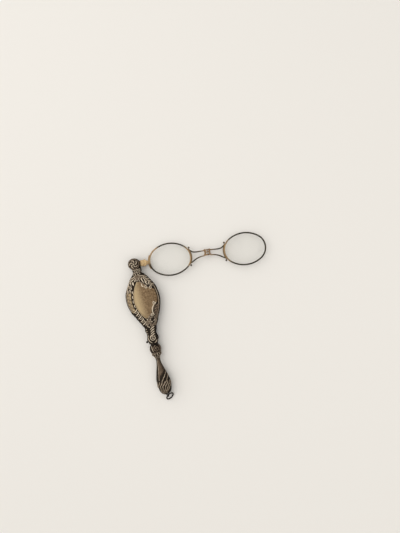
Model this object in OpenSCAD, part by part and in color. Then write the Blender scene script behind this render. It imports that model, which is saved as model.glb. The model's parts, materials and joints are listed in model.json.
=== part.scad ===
// Folding lorgnette. Two oval lenses on a sprung bridge fold onto each other and swing
// into the slot of a pressed silver handle. It lies on its back on Z = 0, opened, with
// the tail of the handle along -Y and the lens frame towards +X.

/* [Handle] */
// Radius of the round boss over the pivot
boss_r = 5.2; // [5.1:0.05:5.4]
// Thickness of the pressed sheet of the two halves
sheet = 0.6; // [0.5:0.05:0.65]
// Thickness of the wall that closes the case opposite the slot
spine_t = 0.45; // [0.35:0.05:0.5]
// Half of the slot's height, from the middle plane to one half shell
slot_half = 2.3; // [2.25:0.05:2.4]
// Height of the handle's middle plane above the surface it lies on
mid_z = 5.25; // [5.25:0.05:6]
// Half-width of the plain cartouche on the case
cartouche_half = 9; // [8:0.1:9.5]
// Height of the chased ornament over the plain dome
relief = 0.4; // [0:0.05:0.5]

/* [Lens frame] */
// Half of the rim's long way, on its centre line
rim_a = 18.65; // [18.2:0.05:18.8]
// Half of the rim's short way, on its centre line
rim_b = 14.35; // [13.9:0.05:14.4]
// Radius of the rim's ends, on its centre line
rim_end_r = 12.4; // [12.2:0.1:12.8]
// Width of the rim, seen from the front
rim_w = 1.3; // [1.2:0.05:1.35]
// Thickness of the rim along the line of sight
rim_t = 1.5; // [1.4:0.05:1.5]
// From the pivot to the middle of the near lens
lens_u = 32.5; // [32.4:0.05:32.8]
// From the pivot to the axis that the second lens folds on
fold_u = 66.5; // [66.4:0.05:66.6]
// Direction of the opened frame, in degrees from +X
open_angle = -6; // [-7:0.5:-5]
// Radius of the round wire of the bridge
wire_r = 0.5; // [0.4:0.02:0.55]

/* [Pivots, catch and ring] */
// Radius of the main pivot pin
pin_r = 1.2; // [1:0.05:1.3]
// Radius of the small pin of the folding bridge
hinge_pin_r = 0.45; // [0.35:0.05:0.45]
// Running clearance on a radius
running = 0.04; // [0.02:0.01:0.06]
// Radius of the catch's ball end
knob_r = 0.95; // [0.8:0.05:1]
// Radius of the suspension ring, on its centre line
ring_r = 3.4; // [3.2:0.05:3.5]
// Radius of the suspension ring's wire
ring_wire_r = 0.6; // [0.5:0.02:0.62]
// How far the suspension ring hangs below the horizontal, in degrees
ring_tilt = 51; // [30:1:51]

/* [Hidden] */

silver = [0.47, 0.42, 0.36];
dark_silver = [0.22, 0.19, 0.15];
gilt = [0.72, 0.60, 0.40];
worn_gilt = [0.36, 0.32, 0.23];
steel = [0.6, 0.6, 0.6];
eps = 0.01;

// Outline of the case: station below the pivot, half-width on the closed side,
// half-width on the slot side
case_outline = [
  [-5.2, 0.6, 0.6], [-4.7, 2.3, 2.3], [-3.7, 3.7, 3.7], [-2, 4.8, 4.8], [0, 5.2, 5.2],
  [2, 4.8, 4.9], [3.4, 3.6, 4.7], [4.8, 2.7, 4.7], [6.8, 2.6, 4.5], [8.3, 2.9, 4.2],
  [10, 4.4, 6], [12, 6.5, 7.7], [15, 8.4, 9.6], [18, 10.4, 11.3], [21, 12.1, 13],
  [25, 14, 14.2], [30, 14.7, 14.9], [35, 14.6, 14.9], [39, 13.6, 14.1],
  [43, 12.2, 12.9], [47, 9.9, 11.4], [50.5, 8.2, 9.6], [53.5, 6.6, 8.5],
  [56, 5.4, 7.2], [58, 4.3, 5.9], [60.5, 4.7, 5.4], [63, 3.9, 4.4], [65.5, 4.1, 4.3],
  [68.5, 4.9, 5.2], [71, 4.2, 4.2], [73, 3.5, 3.4]];
// Height of the case's dome over the middle plane, by station
case_height = [[-5.2, 3.7], [-3.5, 4.5], [0, 4.75], [4, 4.5], [7, 4.1], [10, 4.2],
  [15, 4.5], [22, 4.9], [33, 5], [44, 4.9], [52, 4.4], [58, 3.9], [63, 3.7],
  [68, 3.9], [71, 3.7], [73, 3.4]];
// Outline of the tail: station, half-width, half-thickness
grip_outline = [
  [74, 3.4, 3.2], [75.6, 4.6, 4.1], [77.6, 5.2, 4.6], [79.4, 5.1, 4.5], [81, 4.5, 4],
  [82, 4.1, 3.7], [83.2, 4.3, 3.8], [84.6, 3.1, 2.9], [86.4, 2.2, 2.1],
  [88.8, 1.95, 1.9], [91.5, 2.2, 2.1], [94.5, 2.9, 2.6], [99, 4.2, 3.5],
  [103, 5.3, 4.1], [106.5, 6.1, 4.5], [110, 6.35, 4.6], [113.5, 6.1, 4.5],
  [116.5, 5.4, 4.1], [118.3, 4.5, 3.5], [119.6, 3, 2.4], [120.3, 1.4, 1.2]];
boss_end = case_outline[0][0];
case_end = 72.9;
collar_len = 1.1;
grip_start = case_end + collar_len;
tail_end = 120.3;
// Height of the shell's own edge over the middle plane
edge_h = slot_half + sheet;
// Stations between which the cartouche and the side panels run
cartouche_top = 17;
cartouche_low = 50;
cartouche_shift = 2;

// Layout along the opened frame: u from the pivot, v across, z from the middle plane
frame_z = -0.9;
far_u = 2 * fold_u - lens_u;
// Small radius and large radius of the four arcs of the rim, and where they meet
end_shift = rim_a - rim_end_r;
side_r = (rim_a * rim_a + rim_b * rim_b - 2 * rim_a * rim_end_r) / (2 * (rim_b - rim_end_r));
side_shift = side_r - rim_b;
join_angle = atan2(side_shift, end_shift);
groove_half = 0.45;
groove_floor = -0.2;
lens_edge_in = 0.27;
lens_half_edge = 0.3;
lens_crown = 0.3;
strap_t = 0.75;
strap_half_h = 0.6;
strap_reach = 31;
ball_r = 0.75;
ball_turn = 34.5;
ball_out = 1.2;

// Folding bridge: knuckles along v
barrel_r = 1.1;
barrel_low = -1.3;
barrel_high = 4.3;
near_low_end = 0.2;
far_knuckle = [1.2, 2.4];
near_high_start = 3.3;
hinge_gap = 0.15;
block_len = 1.85;
block_in = 1.25;

// Pivot stack, heights from the middle plane
knuckle_r = 4;
knuckle_half = 1.9;
washer_r = 3.2;
washer_z = 1.95;
washer_t = 0.27;
bush_r = 2.1;
bush_t = 1.8;
bush_bore = 1.2;
pin_half = 3.4;
boss_wall_t = 0.6;
boss_wall_from = 24;
boss_wall_to = 235;
anchor_at = [-2.05, -6.2];
anchor_r = 0.5;
anchor_low = 2.4;
anchor_top = 4.15;

// Neck, catch and their channels
spine_top = 10.3;
neck_top = 68.3;
neck_side_gap = 0.25;
collar_r = 3.5;
plug_r = 2.2;
plug_end = 78.2;
catch_s = 70.75;
catch_half = 0.6;
catch_travel = 0.8;
catch_room = 0.15;
tooth_x = 2.77;
tooth_w = 0.5;
tooth_tip = 67.1;
slider_left = -4.6;
knob_x = -5.8;
knob_stem_r = 0.45;
knob_flat = knob_r - 0.02;
catch_coil = [0.55, 0.13, 6, 5.4];
catch_bore_r = 0.85;

// Suspension ring and the loop that it hangs in
loop_at = [0.7, -121.4, 0.7];
loop_r = 1.15;
loop_wire_r = 0.4;
loop_turn = 38.5;
post_r = 0.55;
post_x = -0.15;
post_from = 118.8;
post_to = 120.6;

// The origin is the middle of the part's box, on the surface that it lies on
reach_x = far_u * cos(open_angle) + end_shift * cos(open_angle) + rim_end_r + rim_w / 2;
left_x = -14.7;
top_y = lens_u * sin(open_angle) + rim_b + rim_w / 2 - side_shift * (cos(open_angle) - 1);
low_y = loop_at[1] - ring_r * cos(ring_tilt) * cos(loop_turn)
  - norm([ring_r * sin(loop_turn), ring_r * cos(ring_tilt) * cos(loop_turn)]) - ring_wire_r;
origin = [(left_x + reach_x) / 2, (top_y + low_y) / 2, 0];

function clamp(x) = min(max(x, 0), 1);
function smooth(x) = let (c = clamp(x)) c * c * (3 - 2 * c);
function mix(a, b, f) = a + (b - a) * f;

// Smooth curve through the rows of a table: column c as a function of column 0
function row_slope(k, i, c) =
  let (a = max(i - 1, 0), b = min(i + 1, len(k) - 1)) (k[b][c] - k[a][c]) / (k[b][0] - k[a][0]);
function row_of(k, x, i = 0) = (i >= len(k) - 2 || x < k[i + 1][0]) ? i : row_of(k, x, i + 1);
function curve(k, x, c = 1) =
  let (i = row_of(k, x), h = k[i + 1][0] - k[i][0], f = clamp((x - k[i][0]) / h), g = 1 - f)
  (1 + 2 * f) * g * g * k[i][c] + f * g * g * h * row_slope(k, i, c)
  + f * f * (3 - 2 * f) * k[i + 1][c] - f * f * g * h * row_slope(k, i + 1, c);
function case_half(s, side) = curve(case_outline, s, side < 0 ? 1 : 2);

// Faces of a sheet solid whose outer and inner points are two grids of n by m
function grid_faces(n, m) = let (q = n * m) concat(
  [for (i = [0:n - 2], j = [0:m - 2]) let (a = i * m + j) each
    [[a, a + 1, a + m + 1], [a, a + m + 1, a + m]]],
  [for (i = [0:n - 2], j = [0:m - 2]) let (a = q + i * m + j) each
    [[a, a + m + 1, a + 1], [a, a + m, a + m + 1]]],
  [for (i = [0:n - 2], e = [0, 1]) let (a = i * m + e * (m - 1), b = a + m, c = a + q, d = b + q)
    each e == 0 ? [[a, b, d], [a, d, c]] : [[a, d, b], [a, c, d]]],
  [for (j = [0:m - 2], e = [0, 1]) let (a = e * (n - 1) * m + j, b = a + 1, c = a + q, d = b + q)
    each e == 0 ? [[a, d, b], [a, c, d]] : [[a, b, d], [a, d, c]]]);
module sheet_solid(outer, inner) {
  polyhedron(points = concat([for (r = outer) each r], [for (r = inner) each r]),
    faces = grid_faces(len(outer), len(outer[0])), convexity = 6);
}

// Tube swept along points; side gives one direction across the tube at each point
function tube_ring(p, along, side, r, n) =
  let (w = cross(along, side), w1 = w / norm(w), s1 = cross(w1, along), s2 = s1 / norm(s1))
  [for (k = [0:n - 1]) p + r * (cos(360 * k / n) * s2 + sin(360 * k / n) * w1)];
function tube_rings(path, sides, r, n) =
  [for (i = [0:len(path) - 1])
    let (a = path[max(i - 1, 0)], b = path[min(i + 1, len(path) - 1)], t = b - a)
    tube_ring(path[i], t / norm(t), sides[i], r, n)];
module tube(path, sides, r, n = 8) {
  rings = tube_rings(path, sides, r, n);
  last = (len(path) - 1) * n;
  polyhedron(points = [for (g = rings) each g], convexity = 8, faces = concat(
    [[for (k = [0:n - 1]) k]],
    [for (i = [0:len(path) - 2], k = [0:n - 1])
      let (a = i * n + k, b = i * n + (k + 1) % n) each [[a, a + n, b + n], [a, b + n, b]]],
    [[for (k = [n - 1:-1:0]) last + k]]));
}
// Coil along +Z from 0: radius, wire radius, turns, length
module coil(c, per_turn = 12, sides = 6) {
  count = round(c[2] * per_turn);
  turn = [for (i = [0:count]) 360 * i / per_turn];
  tube([for (i = [0:count]) [c[0] * cos(turn[i]), c[0] * sin(turn[i]), c[3] * i / count]],
    [for (a = turn) [cos(a), sin(a), 0]], c[1], sides);
}

// Frames of reference
module placed() { translate([-origin[0], -origin[1], mid_z]) children(); }
module on_arm() { placed() rotate([0, 0, open_angle]) children(); }
module at_near() { on_arm() translate([lens_u, 0, frame_z]) children(); }
module at_far() { on_arm() translate([far_u, 0, frame_z]) children(); }

// Case shells
// Columns run from the closed side to the slot side; the fourth column each way
// from the middle follows the cartouche's raised border
column_lift = [0, 0, 0, -0.3, 1, -0.5, 0.7, 0.3, 0.9, 0];
columns = len(column_lift) - 1;
function cartouche_open(s) =
  pow(max(sin(180 * clamp((s - cartouche_top) / (cartouche_low - cartouche_top))), 0), 0.75);
function border_half(s) =
  max(cartouche_half * cartouche_open(s), 0.3 * min(case_half(s, -1), case_half(s, 1)));
function border_mid(s) = cartouche_shift * cartouche_open(s);
function column_x(s, j) = let (side = j < 0 ? -1 : 1, k = abs(j),
  border = border_mid(s) + side * border_half(s), rim = side * case_half(s, side))
  k <= 4 ? border_mid(s) + border_half(s) * j / 4 : mix(border, rim, sin(90 * (k - 4) / (columns - 4)));
function dome(u) = pow(max(1 - pow(min(abs(u), 1), 2.4), 0), 0.6);
function ripple(s, k) = k < 6 ? 1 : 0.65 + 0.35 * cos(360 * s / 5.4 + 70 * k);
function case_lift(s, x, j) = let (k = abs(j),
  panel = smooth((s - 12) / 5) * smooth((62 - s) / 6),
  fan = smooth((s - 9) / 3) * smooth((19 - s) / 4) * cos(360 * x / 3.6),
  knot = smooth((s - 50) / 3) * smooth((72 - s) / 3) * cos(360 * s / 4.3 + 25 * j))
  relief * (panel * column_lift[k] * ripple(s, k) + (k < columns ? 0.8 * fan + 0.9 * knot : 0));
function boss_lift(s, x) = let (r = norm([s, x]), a = atan2(x, s))
  relief * smooth((boss_r - r) / 1.5) * smooth((r - 1) / 1.5) * cos(6 * a + 60 * r);
function case_z(s, x, j) = let (side = x < 0 ? -1 : 1)
  edge_h + (curve(case_height, s) - edge_h) * dome(x / case_half(s, side))
  + (s < 5 ? boss_lift(s, x) : case_lift(s, x, j));
function case_rows(step) = concat(
  [for (s = [boss_end:step * 0.75:spine_top - step / 3]) s],
  [for (s = [spine_top:step:case_end - step / 3]) s], [case_end]);
module case_shell(step) {
  rows = case_rows(step);
  outer = [for (s = rows) [for (j = [-columns:columns]) let (x = column_x(s, j))
    [x, -s, max(case_z(s, x, j), edge_h - eps)]]];
  inner = [for (r = outer) [for (p = r) [p[0], p[1], max(p[2] - sheet, slot_half)]]];
  sheet_solid(outer, inner);
}
module case_front() {
  color(silver) placed() difference() {
    case_shell(1.3);
    translate([anchor_at[0], anchor_at[1], slot_half - 1]) cylinder(r = anchor_r, h = 4, $fn = 24);
  }
}
module case_back() { color(silver) placed() mirror([0, 0, 1]) case_shell(2); }
module boss_wall() {
  color(dark_silver) placed() rotate([0, 0, boss_wall_from])
    rotate_extrude(angle = boss_wall_to - boss_wall_from, $fn = 96)
      translate([boss_r - boss_wall_t, -slot_half]) square([boss_wall_t - 0.03, 2 * slot_half]);
}
module case_spine() {
  rows = [for (s = [spine_top:1.75:neck_top]) s];
  color(dark_silver) placed() translate([0, 0, -slot_half]) linear_extrude(2 * slot_half)
    polygon(concat([for (s = rows) [-case_half(s, -1), -s]],
      [for (i = [len(rows) - 1:-1:0]) [spine_t - case_half(rows[i], -1), -rows[i]]]));
}

// Pivot
module bush() {
  difference() {
    cylinder(r = bush_r, h = bush_t, $fn = 64);
    translate([0, 0, -eps]) cylinder(r = pin_r + running, h = bush_bore + eps, $fn = 64);
  }
}
module pivot_bush_front() { color(steel) placed() translate([0, 0, slot_half]) bush(); }
module pivot_bush_back() {
  color(steel) placed() mirror([0, 0, 1]) translate([0, 0, slot_half]) bush();
}
module pivot_pin() {
  color(steel) placed() translate([0, 0, -pin_half]) cylinder(r = pin_r, h = 2 * pin_half, $fn = 64);
}
module pivot_washers() {
  color(steel) placed() for (z = [washer_z, -washer_z - washer_t]) translate([0, 0, z])
    difference() {
      cylinder(r = washer_r, h = washer_t, $fn = 64);
      translate([0, 0, -1]) cylinder(r = pin_r + running / 2, h = 2, $fn = 64);
    }
}
module spring_anchor() {
  color(dark_silver) placed() translate([anchor_at[0], anchor_at[1], anchor_low])
    cylinder(r = anchor_r, h = anchor_top - anchor_low, $fn = 24);
}
// Spiral over the front bush, with a straight leg down to the anchor pin
module swing_spring() {
  wire = 0.2;
  turns = 1.72;
  start = 205 - 360 * turns;
  spiral = [for (i = [0:36]) let (f = i / 36, r = mix(2.4, 3.8, f), a = start + 360 * turns * f)
    [r * cos(a), r * sin(a), i == 0 ? -wire : 0]];
  path = concat(spiral, [[-2.75, -3.3, 0], [-2.1, -4.4, 0], [-1.5, -5.7, 0]]);
  color(steel) placed() translate([0, 0, slot_half + 0.35])
    tube(path, [for (p = path) [0, 0, 1]], wire, 6);
}

// Neck
module neck_block() {
  rows = concat([for (s = [neck_top:0.9:case_end]) s], [case_end + 0.1]);
  channel_h = 2 * (catch_half + catch_room);
  channel_y = catch_s + catch_half + catch_travel + catch_room;
  color(dark_silver) placed() difference() {
    union() {
      translate([0, 0, -slot_half + eps]) linear_extrude(2 * slot_half - 2 * eps)
        polygon(concat([for (s = rows) [neck_side_gap - case_half(s, -1), -s]],
          [for (i = [len(rows) - 1:-1:0]) [case_half(rows[i], 1) - neck_side_gap, -rows[i]]]));
      translate([0, -case_end, 0]) rotate([90, 0, 0]) rotate_extrude($fn = 64)
        polygon([[0, 0], [collar_r - 0.3, 0], [collar_r, 0.35], [collar_r, collar_len - 0.35],
          [collar_r - 0.3, collar_len], [0, collar_len]]);
      translate([0, -case_end, 0]) rotate([90, 0, 0]) cylinder(r = plug_r, h = plug_end - case_end, $fn = 48);
    }
    translate([-8, -channel_y, -channel_h / 2])
      cube([8 + tooth_x + tooth_w + catch_room, 2 * (catch_half + catch_room) + catch_travel, channel_h]);
    translate([tooth_x - catch_room, -channel_y, -channel_h / 2])
      cube([tooth_w + 2 * catch_room, channel_y - neck_top + 1, channel_h]);
    translate([0, -channel_y + eps, 0]) rotate([90, 0, 0])
      cylinder(r = catch_bore_r, h = plug_end - 1 - channel_y, $fn = 48);
  }
}

// Tail: two half tubes that meet on the middle plane
function flute(s, a) = let (low = smooth((s - 86) / 5) * smooth((107 - s) / 3),
  ring = smooth((s - 81) / 1.2) * smooth((85.5 - s) / 1.2), leaf = smooth((s - 105) / 3))
  relief * (0.35 * low * cos(8 * a) + 0.5 * ring * cos(9 * a) + 0.6 * leaf * cos(3 * a + 75 * s));
function grip_point(s, a, inset) =
  let (w = curve(grip_outline, s, 1), h = curve(grip_outline, s, 2),
    out = sin(a) * flute(s, a) - inset)
  [max(w + out, 0.15) * cos(a), -s, max(h + out, 0.15) * sin(a)];
module grip_half(step) {
  count = 12;
  rows = concat([for (s = [grip_start:step:tail_end - step / 3]) s], [tail_end]);
  outer = [for (s = rows) [for (k = [0:count]) grip_point(s, 180 - 180 * k / count, 0)]];
  inner = [for (s = rows) [for (k = [0:count]) grip_point(s, 180 - 180 * k / count, sheet)]];
  sheet_solid(outer, inner);
}
module grip_front() { color(silver) placed() grip_half(1.25); }
module grip_back() { color(silver) placed() mirror([0, 0, 1]) grip_half(1.6); }
module end_loop() {
  color(dark_silver) placed() {
    translate(loop_at) rotate([90, 0, 90 + loop_turn])
      rotate_extrude($fn = 48) translate([loop_r, 0]) circle(r = loop_wire_r, $fn = 24);
    translate([post_x, -post_from, 0]) rotate([90, 0, 0])
      cylinder(r = post_r, h = post_to - post_from, $fn = 24);
  }
}
module suspension_ring() {
  away = [sin(loop_turn) * cos(ring_tilt), -cos(loop_turn) * cos(ring_tilt), -sin(ring_tilt)];
  color(dark_silver) placed() translate(loop_at + ring_r * away) rotate([0, 0, loop_turn])
    rotate([ring_tilt, 0, 0]) rotate_extrude($fn = 96)
      translate([ring_r, 0]) circle(r = ring_wire_r, $fn = 32);
}

// Catch
module catch_slider() {
  color(gilt) placed() {
    translate([slider_left, -catch_s - catch_half, -catch_half])
      cube([tooth_x + tooth_w - slider_left, 2 * catch_half, 2 * catch_half]);
    translate([tooth_x, -catch_s, -catch_half]) cube([tooth_w, catch_s - tooth_tip, 2 * catch_half]);
  }
}
module catch_knob() {
  color(dark_silver) placed() translate([knob_x, -catch_s, 0]) rotate([0, 90, 0])
    rotate_extrude($fn = 48) {
      intersection() {
        circle(r = knob_r, $fn = 48);
        translate([0, -knob_flat]) square([knob_r, 2 * knob_flat]);
      }
      square([knob_stem_r, slider_left - knob_x]);
    }
}
module catch_spring() {
  color(steel) placed() translate([0, -catch_s - catch_half - 0.2, 0])
    rotate([90, 0, 0]) coil(catch_coil);
}

// Rims and lenses
module rim_arc(at, radius, from, to) {
  half = rim_w / 2;
  lip = rim_t / 2;
  translate(at) rotate([0, 0, from]) rotate_extrude(angle = to - from, $fn = 128)
    translate([radius, 0]) polygon([[-half, -lip], [half - 0.25, -lip], [half, -groove_half],
      [half, groove_half], [half - 0.25, lip], [-half, lip], [-half, groove_half],
      [groove_floor, groove_half], [groove_floor, -groove_half], [-half, -groove_half]]);
}
module rim() {
  over = 0.02;
  for (side = [0, 180]) rotate([0, 0, side]) {
    rim_arc([end_shift, 0, 0], rim_end_r, -join_angle - over, join_angle + over);
    rim_arc([0, -side_shift, 0], side_r, join_angle, 180 - join_angle);
  }
}
// Oval that lies d inside the rim's centre line
module oval(d) {
  intersection() {
    translate([0, -side_shift]) circle(r = side_r - d, $fn = 256);
    translate([0, side_shift]) circle(r = side_r - d, $fn = 256);
    union() {
      square([2 * (end_shift + (rim_end_r - d) * cos(join_angle)), 4 * rim_b], center = true);
      for (x = [-end_shift, end_shift]) translate([x, 0]) circle(r = rim_end_r - d, $fn = 128);
    }
  }
}
module lens() {
  reach = rim_a + 1;
  steps = 6;
  intersection() {
    translate([0, 0, -lens_half_edge]) linear_extrude(2 * lens_half_edge + lens_crown) oval(lens_edge_in);
    rotate_extrude($fn = 96) polygon(concat([[0, -lens_half_edge], [reach, -lens_half_edge]],
      [for (i = [steps:-1:0]) let (f = i / steps)
        [reach * f, lens_half_edge + lens_crown * (1 - f * f)]]));
  }
}
module near_rim() { color(worn_gilt) at_near() rim(); }
module far_rim() { color(worn_gilt) at_far() rim(); }
module near_lens() { color([0.85, 0.9, 0.9, 0.35]) at_near() lens(); }
module far_lens() { color([0.85, 0.9, 0.9, 0.35]) at_far() lens(); }

// Saddle that follows a rim's end on the outside, from the rim's middle towards +X
module saddle(reach, thick) {
  translate([end_shift, 0, 0]) rotate([0, 0, -reach]) rotate_extrude(angle = 2 * reach, $fn = 128)
    translate([rim_end_r + rim_w / 2, -strap_half_h]) square([thick, 2 * strap_half_h]);
}
module tang() {
  plate_low = frame_z - rim_t / 2;
  plate_high = frame_z + rim_t / 2;
  lobes = [[7.2, 0, 2.9], [10.4, 0, 2.3], [9.4, 2.5, 0.85], [9.4, -2.5, 0.85]];
  color(gilt) on_arm() difference() {
    union() {
      translate([0, 0, -knuckle_half]) cylinder(r = knuckle_r, h = 2 * knuckle_half, $fn = 96);
      translate([2, -1.9, plate_low]) cube([4.5, 3.8, plate_high - plate_low]);
      for (l = lobes) translate([l[0], l[1], plate_low]) cylinder(r = l[2], h = plate_high - plate_low, $fn = 64);
      translate([7.2, 0, plate_low]) cylinder(r = 2, h = plate_high - plate_low + 0.4, $fn = 64);
      translate([lens_u, 0, frame_z]) rotate([0, 0, 180]) saddle(28, strap_t);
    }
    translate([0, 0, -knuckle_half - 1]) cylinder(r = pin_r + running, h = 2 * knuckle_half + 2, $fn = 64);
  }
}

// Half of the bridge, with x measured from the fold axis towards its own lens
bridge_top = [[14.95, 5.2], [14.2, 4.55], [13.2, 3.8], [11.4, 3.35], [9, 3.2], [6, 3.3], [3.12, 3.35]];
bridge_low = [[14.95, -5.5], [13.9, -4.95], [12.2, -3.9], [10.4, -2.9], [8.6, -2.2], [6, -1.5],
  [3.12, -1.15]];
module bridge_half() {
  for (way = [bridge_top, bridge_low])
    tube([for (p = way) [p[0], p[1], 0]], [for (p = way) [0, 0, 1]], wire_r, 10);
}
// Strap that holds the bridge to the rim, with a ball at each end
module strap() {
  stem_in = rim_end_r + rim_w / 2 + strap_t / 2;
  ball_at = rim_end_r + rim_w / 2 + ball_out;
  translate([fold_u - lens_u, 0, 0]) rotate([0, 0, 180]) {
    saddle(strap_reach, strap_t);
    for (a = [-1, 1]) translate([end_shift, 0, 0]) {
      rotate([0, 0, a * ball_turn]) translate([ball_at, 0, 0]) sphere(r = ball_r, $fn = 32);
      rotate([0, 0, a * (strap_reach - 1)]) translate([stem_in, 0, 0]) rotate([0, 0, a * 42])
        rotate([0, 90, 0]) cylinder(r = strap_half_h * 0.7, h = ball_out - strap_t / 2, $fn = 24);
    }
  }
}
module near_side() { on_arm() translate([fold_u, 0, frame_z]) mirror([1, 0, 0]) children(); }
module far_side() { on_arm() translate([fold_u, 0, frame_z]) children(); }
module near_strap() { color(worn_gilt) near_side() strap(); }
module near_bridge() { color(worn_gilt) near_side() bridge_half(); }
module far_bridge() { color(worn_gilt) far_side() bridge_half(); }
module far_strap() { color(worn_gilt) far_side() strap(); }

// Block and knuckles, with x measured from the fold axis towards the block's own lens
module hinge_half(knuckles) {
  low = frame_z - rim_t / 2;
  difference() {
    union() {
      translate([block_in, barrel_low + 0.1, low])
        cube([block_len, barrel_high - barrel_low - 0.2, rim_t]);
      for (k = knuckles) {
        translate([0, k[0], 0]) rotate([-90, 0, 0]) cylinder(r = barrel_r, h = k[1] - k[0], $fn = 48);
        translate([0, k[0], -barrel_r]) cube([block_in + eps, k[1] - k[0], barrel_r - hinge_gap]);
      }
    }
    translate([0, barrel_low - 1, 0]) rotate([-90, 0, 0])
      cylinder(r = hinge_pin_r + running, h = barrel_high - barrel_low + 2, $fn = 32);
  }
}
module near_hinge() {
  color(gilt) on_arm() translate([fold_u, 0, 0]) mirror([1, 0, 0])
    hinge_half([[barrel_low, near_low_end], [near_high_start, barrel_high]]);
}
module far_hinge() { color(gilt) on_arm() translate([fold_u, 0, 0]) hinge_half([far_knuckle]); }
module hinge_pin() {
  color(steel) on_arm() translate([fold_u, barrel_low, 0]) rotate([-90, 0, 0])
    cylinder(r = hinge_pin_r, h = barrel_high - barrel_low, $fn = 32);
}
module fold_spring() {
  color(steel) on_arm() translate([fold_u, far_knuckle[1] + 0.15, 0]) rotate([-90, 0, 0])
    coil([0.72, 0.11, 1.5, 0.6]);
}

case_front();
case_back();
boss_wall();
case_spine();
pivot_bush_front();
pivot_bush_back();
neck_block();
grip_front();
grip_back();
end_loop();
spring_anchor();
swing_spring();
catch_spring();
pivot_pin();
pivot_washers();
tang();
near_rim();
near_lens();
near_strap();
near_bridge();
near_hinge();
hinge_pin();
far_hinge();
far_bridge();
far_strap();
far_rim();
far_lens();
fold_spring();
catch_slider();
catch_knob();
suspension_ring();
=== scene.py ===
import json
import math

import bpy
import numpy as np
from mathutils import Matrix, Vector


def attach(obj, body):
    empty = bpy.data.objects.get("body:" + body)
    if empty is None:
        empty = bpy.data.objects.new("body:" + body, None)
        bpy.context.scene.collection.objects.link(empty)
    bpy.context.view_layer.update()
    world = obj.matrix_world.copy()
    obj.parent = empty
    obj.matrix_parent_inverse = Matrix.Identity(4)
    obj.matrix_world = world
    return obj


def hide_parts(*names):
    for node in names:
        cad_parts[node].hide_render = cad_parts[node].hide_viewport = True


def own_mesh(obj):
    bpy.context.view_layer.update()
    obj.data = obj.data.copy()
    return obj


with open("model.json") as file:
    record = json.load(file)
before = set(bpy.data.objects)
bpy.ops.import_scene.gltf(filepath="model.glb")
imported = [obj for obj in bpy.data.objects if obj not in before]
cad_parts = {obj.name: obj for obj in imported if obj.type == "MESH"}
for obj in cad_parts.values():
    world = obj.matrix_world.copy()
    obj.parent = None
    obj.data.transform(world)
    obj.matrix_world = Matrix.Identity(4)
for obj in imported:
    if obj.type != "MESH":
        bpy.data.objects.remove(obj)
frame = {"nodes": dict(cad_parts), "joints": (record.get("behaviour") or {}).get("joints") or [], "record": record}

# The folding lorgnette, opened and lying on its back on a pale table.
# Shapes are written in millimetres from the main pivot: x to the right of the upright
# handle, y up it, z from the middle plane of the case. Stations s run down the handle.

MM = 0.001
joints = {j["name"]: j for j in frame["joints"]}
pivot = np.array(joints["slot_swing"]["pos_m"])
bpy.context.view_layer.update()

# The opened arm with both lenses lies this many degrees from x; places u run along it
open_turn = -6
lens_u = 32.5
fold_u = 66.5
far_u = 2 * fold_u - lens_u
frame_z = -0.9

slot_half = 2.3
sheet = 0.6
edge_h = slot_half + sheet
case_start = -5.2
case_end = 72.9
grip_start = 74.0
tail_end = 120.3

# Outline of the case: station, half-width on the closed side, half-width on the slot side
case_outline = np.array([
    [-5.2, 0.6, 0.6], [-4.7, 2.3, 2.3], [-3.7, 3.7, 3.7], [-2, 4.8, 4.8], [0, 5.2, 5.2],
    [2, 4.8, 4.9], [3.4, 3.6, 4.7], [4.8, 2.7, 4.7], [6.8, 2.6, 4.5], [8.3, 2.9, 4.2],
    [10, 4.4, 6], [12, 6.5, 7.7], [15, 8.4, 9.6], [18, 10.4, 11.3], [21, 12.1, 13],
    [25, 14, 14.2], [30, 14.7, 14.9], [35, 14.6, 14.9], [39, 13.6, 14.1],
    [43, 12.2, 12.9], [47, 9.9, 11.4], [50.5, 8.2, 9.6], [53.5, 6.6, 8.5],
    [56, 5.4, 7.2], [58, 4.3, 5.9], [60.5, 4.7, 5.4], [63, 3.9, 4.4], [65.5, 4.1, 4.3],
    [68.5, 4.9, 5.2], [71, 4.2, 4.2], [73, 3.5, 3.4]])
# Height of the case's dome over the middle plane, by station
case_height = np.array([
    [-5.2, 3.7], [-3.5, 4.5], [0, 4.75], [4, 4.5], [7, 4.1], [10, 4.2], [15, 4.5],
    [22, 4.9], [33, 5], [44, 4.9], [52, 4.4], [58, 3.9], [63, 3.7], [68, 3.9],
    [71, 3.7], [73, 3.4]])
# Outline of the tail: station, half-width, half-thickness
grip_outline = np.array([
    [74, 3.4, 3.2], [75.6, 4.6, 4.1], [77.6, 5.2, 4.6], [79.4, 5.1, 4.5], [81, 4.5, 4],
    [82, 4.1, 3.7], [83.2, 4.3, 3.8], [84.6, 3.1, 2.9], [86.4, 2.2, 2.1],
    [88.8, 1.95, 1.9], [91.5, 2.2, 2.1], [94.5, 2.9, 2.6], [99, 4.2, 3.5],
    [103, 5.3, 4.1], [106.5, 6.1, 4.5], [110, 6.35, 4.6], [113.5, 6.1, 4.5],
    [116.5, 5.4, 4.1], [118.3, 4.5, 3.5], [119.6, 3, 2.4], [120.3, 1.4, 1.2]])
cartouche_top = 15.6
cartouche_low = 50
cartouche_half = 9
cartouche_shift = 2

# Steps of the relief's grid and of the shells, whose inner face has one row in so many
relief_step = 0.12
shell_step = 0.19
coarse = 4
# How the relief stands on the shells: its scale, the depth of its ground and the highest point
relief_scale = 0.9
ground_depth = 0.3
grip_ground = 0.22
top_limit = 5.22


def smooth(x):
    c = np.clip(x, 0, 1)
    return c * c * (3 - 2 * c)


def mix(a, b, f):
    return a + (b - a) * f


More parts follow.
